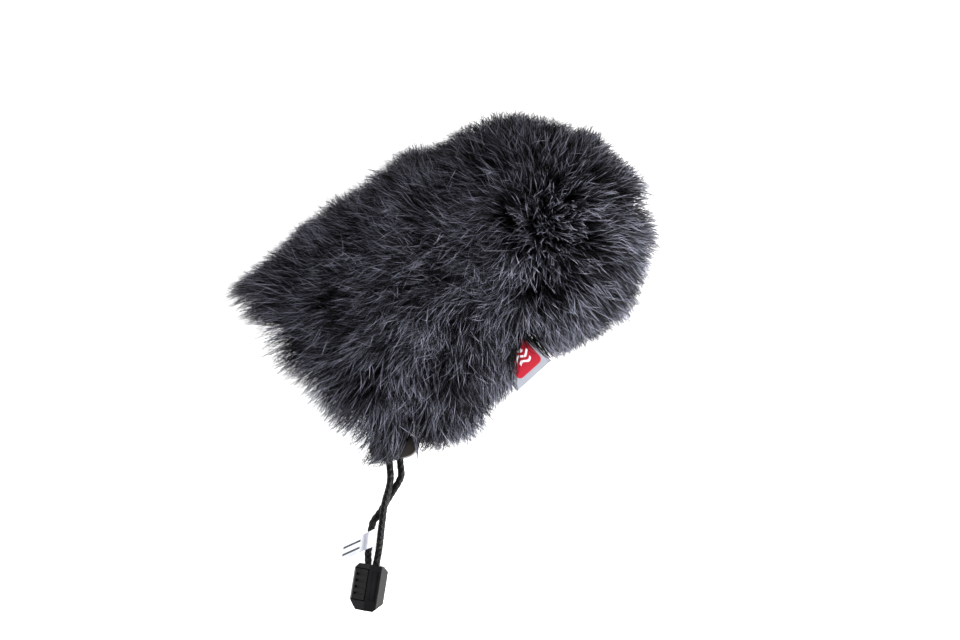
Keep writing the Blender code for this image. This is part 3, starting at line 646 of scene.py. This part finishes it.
def room_for_lock(lines):
    """Keeps the strands over the cord lock, off its bare right end and in a fringe along its front.
    Returns the lines moved sideways, their new heights, and which strands to keep."""
    local = lines - LOCK_CENTRE
    out, across = local @ LOCK_OUT, local @ LOCK_ACROSS
    height = lines[..., 2]
    in_notch = (np.abs(across) < NOTCH_HALF) & between(out, *NOTCH_OUT)
    keep = ~(in_notch & (height < NOTCH_HEIGHT))[:, :2].any(axis=1)
    height = np.where(in_notch, np.maximum(height, NOTCH_HEIGHT), height)
    bare = between(across, *BARE_ACROSS) & between(out, *BARE_OUT)
    keep &= ~bare[:, 2:].any(axis=1)
    edge = FRINGE_OUT + random.normal(0, 1.2 * MM, (len(lines), 1))
    past = np.where(between(across, *FRINGE_ACROSS), np.maximum(out - edge, 0), 0)
    pulled = past - FRINGE_LENGTH * np.tanh(past / FRINGE_LENGTH)
    lines = lines - pulled[..., None] * LOCK_OUT
    fading = np.clip((17 * MM - across) / (4 * MM), 0, 1)
    beside = np.clip(across - BESIDE_ACROSS, 0, BESIDE_SHIFT) * fading
    beside = np.where(between(out, *BESIDE_OUT), beside, 0)
    lines = lines - beside[..., None] * LOCK_ACROSS
    return lines, height, keep


def room_for_label(lines, height):
    """Keeps the strands above or below the label, and their tips off its patch.
    Returns the new heights and which strands to keep."""
    turn = np.array(Matrix.Rotation(-LABEL_HEADING, 3, "Z"))
    spot = (lines - np.array(LABEL_ROOT)) @ turn.T
    reach = np.array(LABEL_REACH) * MM
    sheet = LABEL_ROOT.z + np.interp(spot[..., 0], reach[:, 0], reach[:, 1])
    near = (np.abs(spot[..., 1]) < LABEL_CLEAR_HALF) & between(spot[..., 0], *LABEL_CLEAR_REACH)
    rooted_above = lines[:, 0, 2] > LABEL_ROOT.z
    above = rooted_above[:, None] & near
    below = ~rooted_above[:, None] & near
    height = np.where(above, np.maximum(height, sheet + 0.7 * MM), height)
    height = np.where(below, np.minimum(height, sheet - 1.5 * MM), height)
    tip = spot[:, -1]
    over_patch = between(tip[:, 1], -LABEL_CLEAR_HALF, PATCH_SHOWN_SIDE) & (tip[:, 0] > PATCH_SHOWN_FROM)
    return height, ~(over_patch & rooted_above)


def make_room(lines):
    """Fits the strands round the lock, the label and the floor, and says which ones to keep."""
    lines, height, clear_of_lock = room_for_lock(lines)
    height, clear_of_label = room_for_label(lines, height)
    lines = lines.copy()
    lines[..., 2] = np.maximum(height, FLOOR_GAP)
    return lines, clear_of_lock & clear_of_label


def strand_mesh(name, lines, radius, shade, look):
    """Closed three-sided tapering strands as one mesh."""
    count, rings = len(lines), STRAND_RINGS
    tangent = unit(np.gradient(lines, axis=1))
    side = unit(np.cross(tangent, random.normal(size=(count, 1, 3))))
    other = np.cross(tangent, side)
    angles = 2 * math.pi * np.arange(3) / 3
    ring = (
        lines[:, :rings, None]
        + radius[:, :rings, None, None] * np.cos(angles)[:, None] * side[:, :rings, None]
        + radius[:, :rings, None, None] * np.sin(angles)[:, None] * other[:, :rings, None]
    )
    each = 3 * rings + 1
    points = np.concatenate([ring.reshape(count, 3 * rings, 3), lines[:, rings:]], axis=1)
    quads = [(3 * i + k, 3 * i + (k + 1) % 3, 3 * i + 3 + (k + 1) % 3, 3 * i + 3 + k)
             for i in range(rings - 1) for k in range(3)]
    top = 3 * (rings - 1)
    tips = [(top + k, top + (k + 1) % 3, 3 * rings) for k in range(3)] + [(2, 1, 0)]
    corners = np.array([i for face in quads + tips for i in face])
    sizes = np.array([len(face) for face in quads + tips])
    loops = (corners + each * np.arange(count)[:, None]).ravel()
    totals = np.tile(sizes, count)
    mesh = bpy.data.meshes.new(name)
    mesh.vertices.add(count * each)
    mesh.vertices.foreach_set("co", points.astype(np.float32).ravel())
    mesh.loops.add(len(loops))
    mesh.loops.foreach_set("vertex_index", loops.astype(np.int32))
    mesh.polygons.add(len(totals))
    mesh.polygons.foreach_set("loop_start", np.concatenate([[0], np.cumsum(totals)[:-1]]).astype(np.int32))
    mesh.polygons.foreach_set("loop_total", totals.astype(np.int32))
    layer = mesh.uv_layers.new(name="OFBake")
    height = np.concatenate([np.repeat(np.arange(rings) / rings, 3), [1.0]])[corners]
    uv = np.stack([np.repeat(shade, len(corners)), np.tile(0.01 + 0.98 * height, count)], axis=1)
    layer.data.foreach_set("uv", uv.astype(np.float32).ravel())
    mesh.update(calc_edges=True)
    mesh.shade_smooth()
    mesh.materials.append(look)
    item = bpy.data.objects.new(name, mesh)
    bpy.context.scene.collection.objects.link(item)
    return item


def pile(look):
    lines, radius, shade, station, around = pile_strands()
    lines, keep = make_room(lines)
    for panel, chosen in (
        ("body_top", (station < WAIST) & (around <= 1)),
        ("body_bottom", (station < WAIST) & (around > 1)),
        ("head_top", (station >= WAIST) & (around <= 1)),
        ("head_bottom", (station >= WAIST) & (around > 1)),
    ):
        found = np.flatnonzero(chosen & keep)
        found = found[np.argsort(station[found], kind="stable")]
        for number, part in enumerate(np.array_split(found, math.ceil(len(found) / PIECE_STRANDS))):
            piece = strand_mesh(f"pile_{panel}_{number + 1}", lines[part], radius[part], shade[part], look)
            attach(piece, "cover")


# ---------------------------------------------------------------- backing and hem

def backing_panel(panel, stations, start, columns, look):
    """A knitted panel with real thickness, closed all round."""
    arounds = np.linspace(start + 0.004, start + 0.996, columns)
    grid_s, grid_a = np.meshgrid(stations, arounds, indexing="ij")
    inner = cover(grid_s, grid_a)
    normal, _ = cover_normal(grid_s, grid_a)
    outer = inner + normal * 0.9 * MM
    rows = len(stations)
    count = rows * columns
    faces = grid_faces(rows, columns)
    faces = [tuple(reversed(f)) for f in faces] + [tuple(i + count for i in f) for f in faces]
    for i in range(rows - 1):
        a, b = i * columns, (i + 1) * columns
        faces.append((a, b, b + count, a + count))
        a, b = a + columns - 1, b + columns - 1
        faces.append((b, a, a + count, b + count))
    for j in range(columns - 1):
        faces.append((j + 1, j, j + count, j + 1 + count))
        a = (rows - 1) * columns + j
        faces.append((a, a + 1, a + 1 + count, a + count))
    points = np.concatenate([inner.reshape(-1, 3), outer.reshape(-1, 3)])
    piece = mesh_from_faces(f"backing_{panel}", points, faces, look)
    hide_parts(f"fur_{panel}")
    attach(piece, "cover")
    return piece


def backing(look):
    body = np.linspace(0.0, WAIST - 0.2 * MM, 24)
    sweep = np.sin(np.linspace(0, math.pi / 2, 18)) * (TIP - 0.6 * MM - DOME)
    head = np.concatenate([np.linspace(WAIST + 0.2 * MM, DOME, 6)[:-1], DOME + sweep])
    backing_panel("body_top", body, 0, 60, look)
    backing_panel("body_bottom", body, 1, 40, look)
    backing_panel("head_top", head, 0, 60, look)
    backing_panel("head_bottom", head, 1, 40, look)


def hem(look):
    """The gathered channel that the drawcord runs in."""
    line = hem_point(np.linspace(CASING_START, CASING_END, 220))
    line = smooth_line(line[::5], 0.6 * MM)

    def gathered(distance, angle):
        fold = np.sin(distance / (1.35 * MM) + 1.2 * np.sin(distance / (7.1 * MM)))
        return CASING_RADIUS * (1.0 + 0.07 * fold * (0.6 + 0.4 * np.cos(angle)))

    casing = swept_piece("hem_gathered", line, gathered, 24, look, capped=False)
    wall = casing.modifiers.new("Wall", "SOLIDIFY")
    wall.thickness = 0.6 * MM
    wall.offset = -1
    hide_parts("hem_casing")
    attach(casing, "cover")


# ---------------------------------------------------------------- cords

def cord_line(before, side, after):
    base = LOCK_CENTRE + LOCK_ACROSS * side + np.array((0, 0, CORD_HEIGHT))
    run = [base + LOCK_OUT * step * MM for step in RUN_STEPS]
    route = [np.array(p) * MM for p in before] + run + [np.array(p) * MM for p in after]
    return smooth_line(route, 0.3 * MM)


def braid(distance, angle):
    """Radius of a cord braided from eight yarns each way."""
    one = np.sin(4 * angle + distance / (0.42 * MM))
    two = np.sin(4 * angle - distance / (0.42 * MM))
    return CORD_RADIUS * (0.91 + 0.12 * np.maximum(one, two))


def cords(look):
    pieces = []
    for name, before, side, after in (
        ("braided_tail_a", ROUTE_A_IN, -CORD_SPACING, ROUTE_A_OUT),
        ("braided_tail_b", ROUTE_B_IN, CORD_SPACING, ROUTE_B_OUT),
    ):
        line = cord_line(before, side, after)
        piece = swept_piece(name, line, braid, 32, look)
        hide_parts(name.replace("braided", "cord"))
        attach(piece, "cover")
        pieces.append((piece, line))
    return pieces


# ---------------------------------------------------------------- tag and label

def folded_strip(name, profile, width, matrix, look):
    """A strip of cloth that follows a profile of (x, z) in mm, flat across its width."""
    profile = np.array(profile, float) * MM
    line = smooth_line(np.stack([profile[:, 0], 0 * profile[:, 0], profile[:, 1]], axis=1), 0.35 * MM)
    columns = 25
    across = np.linspace(-width / 2, width / 2, columns)
    points = []
    for x, _, z in line:
        for y in across:
            points.append(matrix @ Vector((x, y, z)))
    piece = mesh_from_faces(name, points, grid_faces(len(line), columns), look)
    layer = piece.data.uv_layers.new(name="cloth")
    for loop, target in zip(piece.data.loops, layer.data):
        row, column = divmod(loop.vertex_index, columns)
        target.uv = (column / (columns - 1), row / (len(line) - 1))
    length = float(np.linalg.norm(np.diff(line, axis=0), axis=1).sum())
    return piece, length


def label(look_of):
    upper = [(x, z + 0.02) for x, z in LABEL_REACH]
    lower = [(x, z - LABEL_THICKNESS / MM - 0.02) for x, z in reversed(LABEL_REACH)]
    (x, z), drop = LABEL_REACH[-1], LABEL_THICKNESS / MM
    nose = [(x + 0.45, z - drop * 0.45), (x + 0.3, z - drop * 0.85)]
    matrix = Matrix.Translation(LABEL_ROOT) @ Matrix.Rotation(LABEL_HEADING, 4, "Z")
    profile = upper + nose + lower
    piece, length = folded_strip("side_label_cloth", profile, LABEL_WIDTH, matrix, look_of(LABEL_FOLD))
    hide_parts("side_label")
    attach(piece, "label")


def tag(look):
    loop = [(1.95 * math.cos(a), 1.95 * math.sin(a)) for a in np.radians(np.linspace(20, 340, 25))]
    upper = [(12.7, -1.42), (9.0, -0.9), (5.5, -0.25), (3.4, 0.0)]
    lower = [(3.4, -0.5), (5.5, -0.75), (9.0, -1.35), (12.7, -1.85)]
    lean = Matrix.Identity(4)
    lean[1][0] = TAG_SHEAR
    matrix = Matrix.Translation(TAG_CENTRE) @ Matrix.Rotation(TAG_TURN, 4, "Z") @ lean
    piece, _ = folded_strip("cord_tag_film", upper + loop + lower, TAG_WIDTH, matrix, look)
    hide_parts("cord_tag")
    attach(piece, "tag")
    return piece


# ---------------------------------------------------------------- camera, floor and lights

def camera():
    data = bpy.data.cameras.new("camera")
    data.lens = 85.0
    data.sensor_width = 36.0
    item = bpy.data.objects.new("camera", data)
    bpy.context.scene.collection.objects.link(item)
    target = Vector((2.8, -18.6, 25.0)) * MM
    turn, elevation, distance = math.radians(-27.0), math.radians(85.0), 0.95
    toward = Vector((math.sin(turn), -math.cos(turn), 0))
    item.location = target + (toward * math.cos(elevation) + Vector((0, 0, math.sin(elevation)))) * distance
    item.rotation_euler = (target - item.location).to_track_quat("-Z", "Y").to_euler()
    bpy.context.scene.camera = item


def area_light(name, place, size, power, colour=(1.0, 1.0, 1.0)):
    data = bpy.data.lights.new(name, "AREA")
    data.size = size
    data.energy = power
    data.color = colour
    item = bpy.data.objects.new(name, data)
    bpy.context.scene.collection.objects.link(item)
    item.location = place
    item.rotation_euler = (-Vector(place)).to_track_quat("-Z", "Y").to_euler()


def studio():
    look = Look("pale_floor", 0.35, grey(0.9), Specular_IOR_Level=0.3, Emission_Strength=0.85)
    look.shader.inputs["Emission Color"].default_value = (1.0, 1.0, 1.0, 1.0)
    half = 3.0
    corners = [(-half, -half, 0), (half, -half, 0), (half, half, 0), (-half, half, 0)]
    floor = mesh_from_faces("floor", corners, [(0, 1, 2, 3)], look.material, smooth=False)
    world = bpy.data.worlds.new("studio")
    world.use_nodes = True
    world.node_tree.nodes["Background"].inputs[0].default_value = (1.0, 1.0, 1.0, 1.0)
    world.node_tree.nodes["Background"].inputs[1].default_value = 0.15
    bpy.context.scene.world = world
    area_light("key", (0.35, -0.8, 0.6), 0.4, 27.0)
    area_light("back", (-0.35, 0.4, 1.0), 0.3, 7.0)
    area_light("fill", (0.7, -0.2, 0.5), 0.5, 5.0, (1.0, 0.95, 0.88))
    bpy.context.scene.view_settings.view_transform = "Standard"


# ---------------------------------------------------------------- putting it together

def finish_nodes():
    """Materials for the CAD nodes that stay as they are."""
    dark = moulding_look("lock_moulding", (0.026, 0.022, 0.021), 0.4)
    end = moulding_look("end_moulding", (0.003, 0.0032, 0.0038), 0.3)
    thread, braided, steel = thread_look(), braid_look(), steel_look()
    looks = {
        "hem_thread": thread, "waist_thread": thread, "body_thread_left": thread,
        "body_thread_right": thread, "head_thread": thread, "label_thread": thread,
        "drawcord_loop": braided, "cord_knot": braided, "cord_lock_body": dark,
        "cord_lock_plunger": dark, "cord_lock_spring": steel, "cord_end_body": end,
        "cord_end_lid": end,
    }
    for name, look in looks.items():
        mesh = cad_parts[name].data
        mesh.materials.clear()
        mesh.materials.append(look)
    return braided


camera()
braided = finish_nodes()
(tail_a, line_a), (tail_b, line_b) = cords(braided)
tag_piece = tag(film_look())
label(label_look)
hem(tape_look())
backing(knit_look())
pile(pile_look())
studio()
